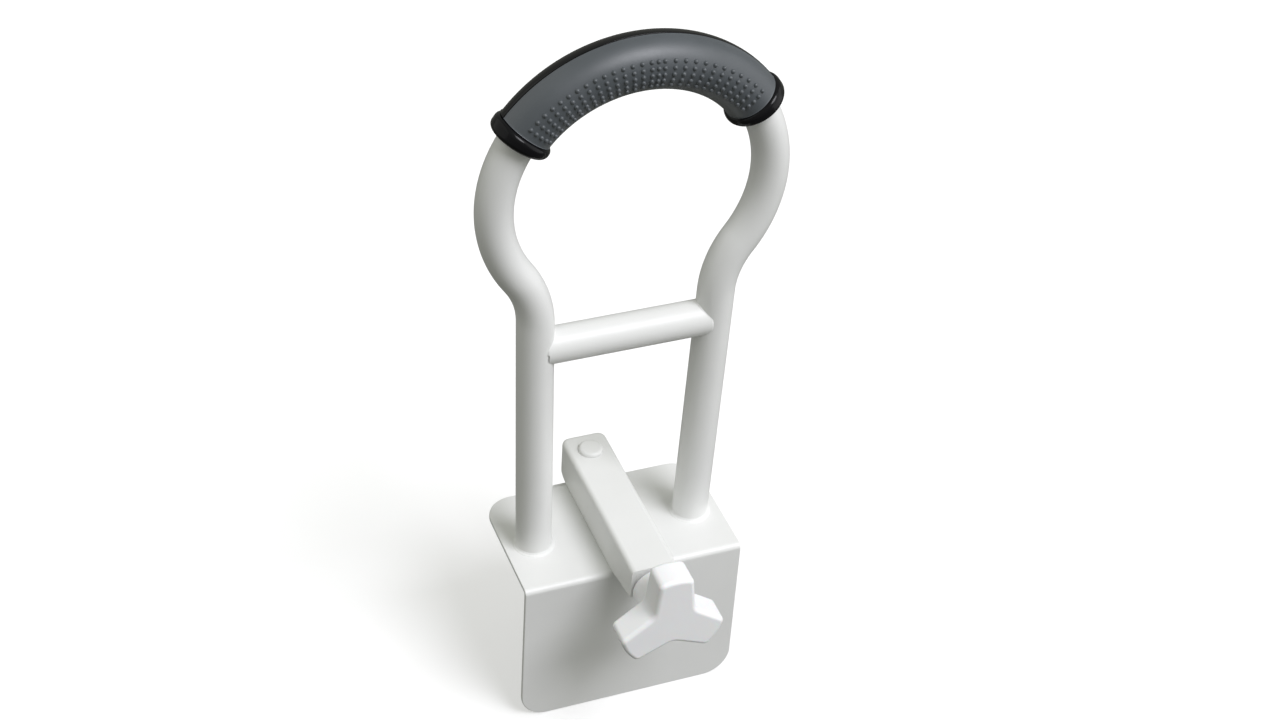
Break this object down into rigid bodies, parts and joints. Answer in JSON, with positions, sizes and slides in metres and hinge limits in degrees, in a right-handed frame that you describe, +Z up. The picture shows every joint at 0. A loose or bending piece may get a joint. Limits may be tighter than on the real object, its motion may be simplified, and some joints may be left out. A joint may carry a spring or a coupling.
{
  "type": "bed assist rail",
  "caption": "Clamp-on bed assist rail: a keyhole-shaped tube handle with a soft grip on a bent steel plate, held to a bed's side rail by a knob-driven clamp arm.",
  "frame": {"origin": "mid-width of the bracket's inner corner, where the flange's inner face meets the top plate's underside; the bed side rail's top front edge lies there", "axes": "+X to the right seen from the side of the bed, +Y to the rear, into the bed, square to the flange's inner face, +Z up along the handle"},
  "size_m": [0.209, 0.1825, 0.5169],
  "materials": {
    "powder_coat": "satin off-white powder coat",
    "white_plastic": "satin moulded plastic",
    "black_plastic": "glossy moulded plastic",
    "grey_rubber": "soft-touch, matte, moulded nubs",
    "black_rubber": "matte",
    "zinc_steel": "bright zinc plate",
    "brass": "turned"
  },
  "bodies": {
    "bracket": {"mounting_plate": "powder_coat", "handle_tube": "powder_coat", "crossbar_tube": "powder_coat", "upright_weld_left": "powder_coat", "upright_weld_right": "powder_coat", "crossbar_weld_left": "powder_coat", "crossbar_weld_right": "powder_coat", "guide_block": "powder_coat", "guide_block_weld": "powder_coat", "thrust_washer": "zinc_steel", "grip_rear_shell": "black_plastic", "grip_front_core": "black_plastic", "grip_pad": "grey_rubber", "grip_collar_left": "black_plastic", "grip_collar_right": "black_plastic"},
    "knob": {"knob_body": "white_plastic", "knob_insert": "brass", "clamp_screw": "zinc_steel", "screw_clip": "zinc_steel"},
    "arm": {"clamp_arm": "powder_coat", "arm_end_plate": "powder_coat", "clamp_nut": "zinc_steel", "post_bolt": "powder_coat", "post_spacer": "zinc_steel", "rear_jaw": "powder_coat", "jaw_pad": "black_rubber", "jaw_rivets": "zinc_steel", "post_washer": "zinc_steel", "post_lock_nut": "zinc_steel"}
  },
  "joints": [
    {"name": "knob_turn", "type": "hinge", "parent": "bracket", "child": "knob", "pos_m": [0, 0, 0.0175], "axis": [0, 1, 0], "range_deg": [-4320, 240]},
    {"name": "arm_slide", "type": "slide", "parent": "bracket", "child": "arm", "axis": [0, 1, 0], "range_m": [-0.001, 0.018]}
  ],
  "couplings": [
    {"joint": "arm_slide", "follows": "knob_turn", "m_per_rad": -0.00023873}
  ]
}
